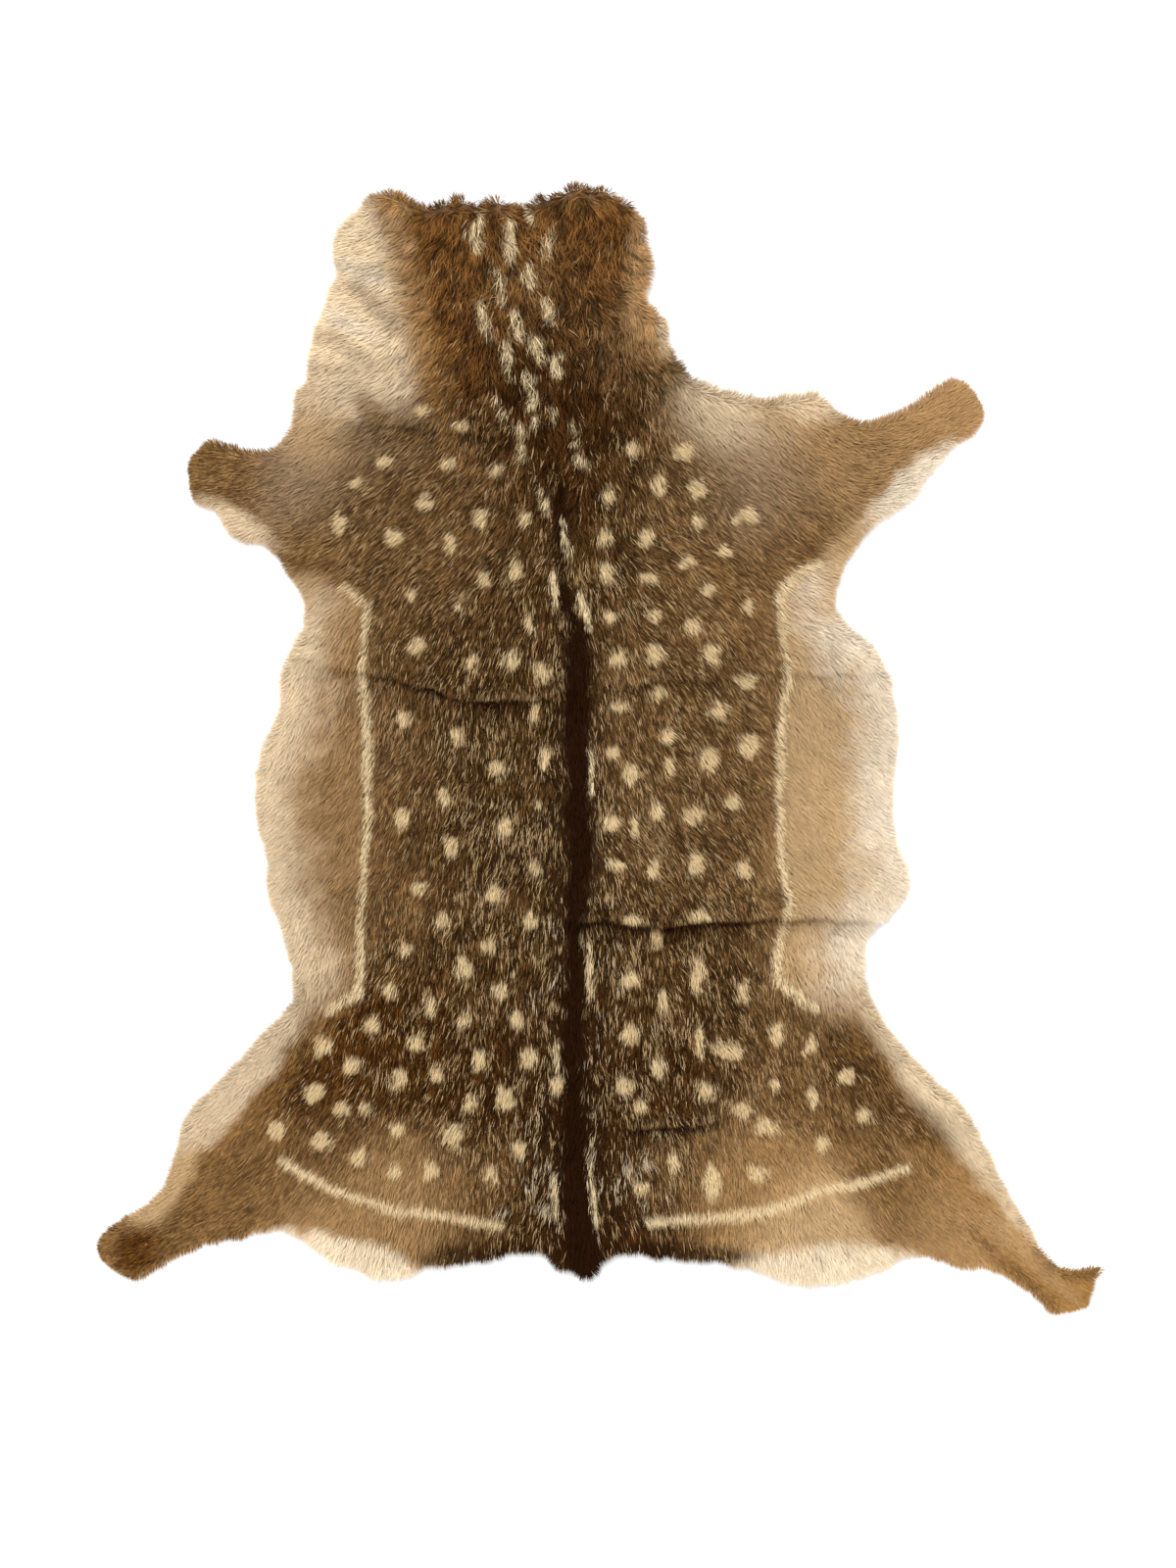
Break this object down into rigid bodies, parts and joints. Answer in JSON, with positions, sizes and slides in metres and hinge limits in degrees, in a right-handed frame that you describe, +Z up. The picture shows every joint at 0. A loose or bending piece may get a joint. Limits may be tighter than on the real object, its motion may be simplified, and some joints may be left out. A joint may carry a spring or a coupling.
{
  "type": "deer hide",
  "caption": "Whole tanned deer hide with its hair on, spread flat with neck, legs and tail in outline; a rug, throw or wall covering.",
  "frame": {"origin": "bottom centre of the hide's bounding box, on the surface that its flesh side lies on", "axes": "+Y along the spine towards the neck, +X to the right seen from above with the neck up, +Z up out of the coat"},
  "size_m": [1.0258, 1.15, 0.031],
  "materials": {
    "hair_on_hide": "short glossy hair, brown with pale spots"
  },
  "bodies": {
    "root": {"hide": "hair_on_hide"}
  },
  "joints": []
}
